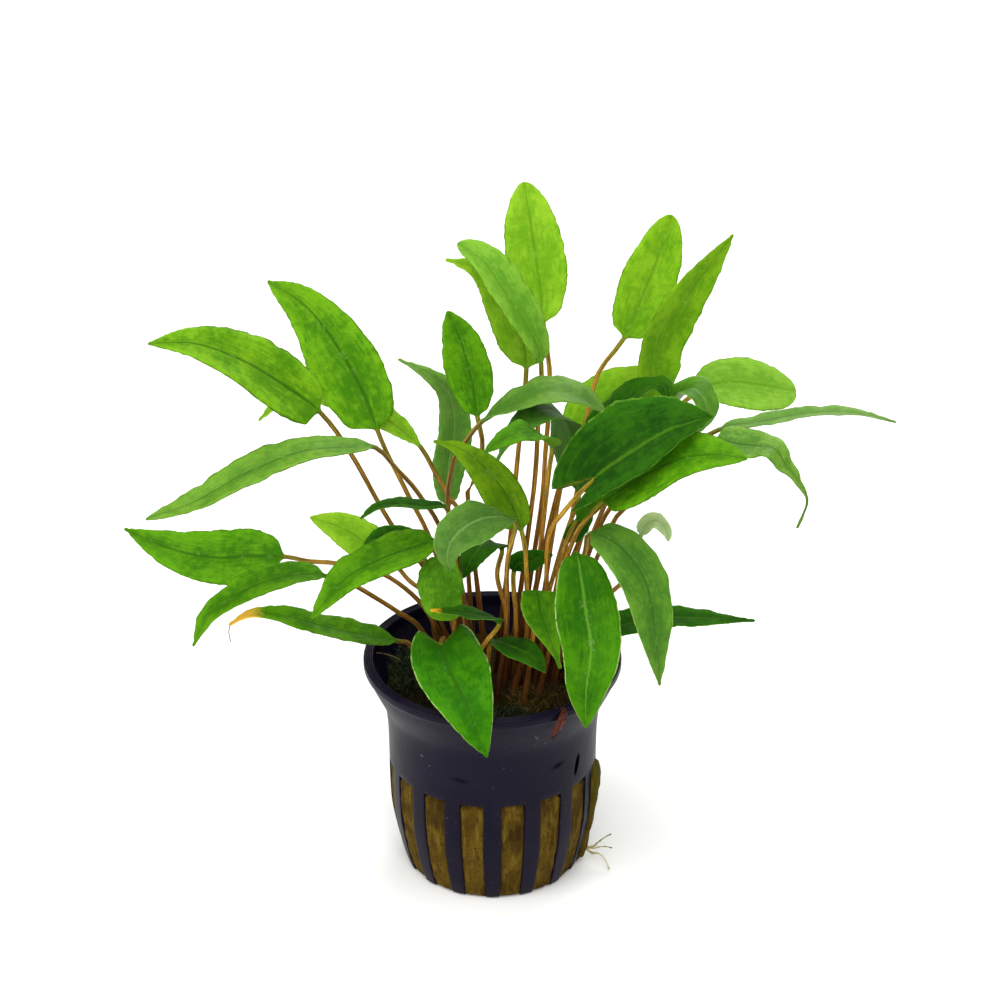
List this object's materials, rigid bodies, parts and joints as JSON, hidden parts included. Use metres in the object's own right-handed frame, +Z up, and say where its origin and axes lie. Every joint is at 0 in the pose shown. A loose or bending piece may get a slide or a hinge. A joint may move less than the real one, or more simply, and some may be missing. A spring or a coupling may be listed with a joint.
{
  "type": "potted water plant",
  "caption": "Leafy cryptocoryne rooted in mineral wool inside a slotted plastic pot, with arching stalks, pointed blades and roots at the pot's foot.",
  "frame": {"origin": "middle of the pot's underside, on the pot's axis, level with what the pot stands on", "axes": "+Z up along the pot's axis, -Y towards the front that the picture shows, +X to the right"},
  "size_m": [0.1662, 0.0664, 0.1456],
  "materials": {
    "pot": "gloss",
    "wool": "rough fibrous",
    "leaf_bright": "satin",
    "leaf_mid": "satin",
    "leaf_dark": "satin",
    "leaf_pale": "satin",
    "root": "matt",
    "scrap": "satin"
  },
  "bodies": {
    "root": {"pot": "pot", "mineral_wool": "wool", "leaf_left_high": "leaf_mid", "leaf_left_broad": "leaf_mid", "leaf_left_drooping": "leaf_mid", "leaf_left_hidden": "leaf_bright", "leaf_left_back": "leaf_mid", "leaf_left_arched": "leaf_mid", "leaf_left_front": "leaf_mid", "leaf_left_small": "leaf_dark", "leaf_left_bright": "leaf_bright", "leaf_left_narrow": "leaf_dark", "leaf_left_yellow_tip": "leaf_mid", "leaf_hooked": "leaf_bright", "leaf_upright": "leaf_mid", "leaf_olive": "leaf_mid", "leaf_front_pale": "leaf_pale", "leaf_front_arched": "leaf_dark", "leaf_front_dark": "leaf_dark", "leaf_front_crumpled": "leaf_dark", "leaf_front_strip": "leaf_dark", "leaf_front_heart": "leaf_mid", "leaf_front_low": "leaf_dark", "leaf_front_short": "leaf_mid", "leaf_front_broad": "leaf_mid", "leaf_front_drooping": "leaf_mid", "leaf_top": "leaf_bright", "leaf_top_folded": "leaf_bright", "leaf_top_whip": "leaf_bright", "leaf_arching": "leaf_dark", "leaf_turned_over": "leaf_dark", "leaf_curly": "leaf_mid", "leaf_right_dark": "leaf_dark", "leaf_right_low": "leaf_mid", "leaf_right_sliver": "leaf_mid", "leaf_right_young": "leaf_dark", "leaf_right_behind": "leaf_bright", "leaf_right_domed": "leaf_dark", "leaf_right_curled": "leaf_pale", "leaf_right_tall": "leaf_bright", "leaf_right_broad": "leaf_bright", "leaf_right_oval": "leaf_bright", "leaf_right_thin": "leaf_mid", "leaf_right_bent": "leaf_mid", "leaf_right_level": "leaf_dark", "leaf_right_torn": "leaf_pale", "root_upper": "root", "root_middle": "root", "root_lower": "root", "dead_leaf_scrap": "scrap"}
  },
  "joints": []
}
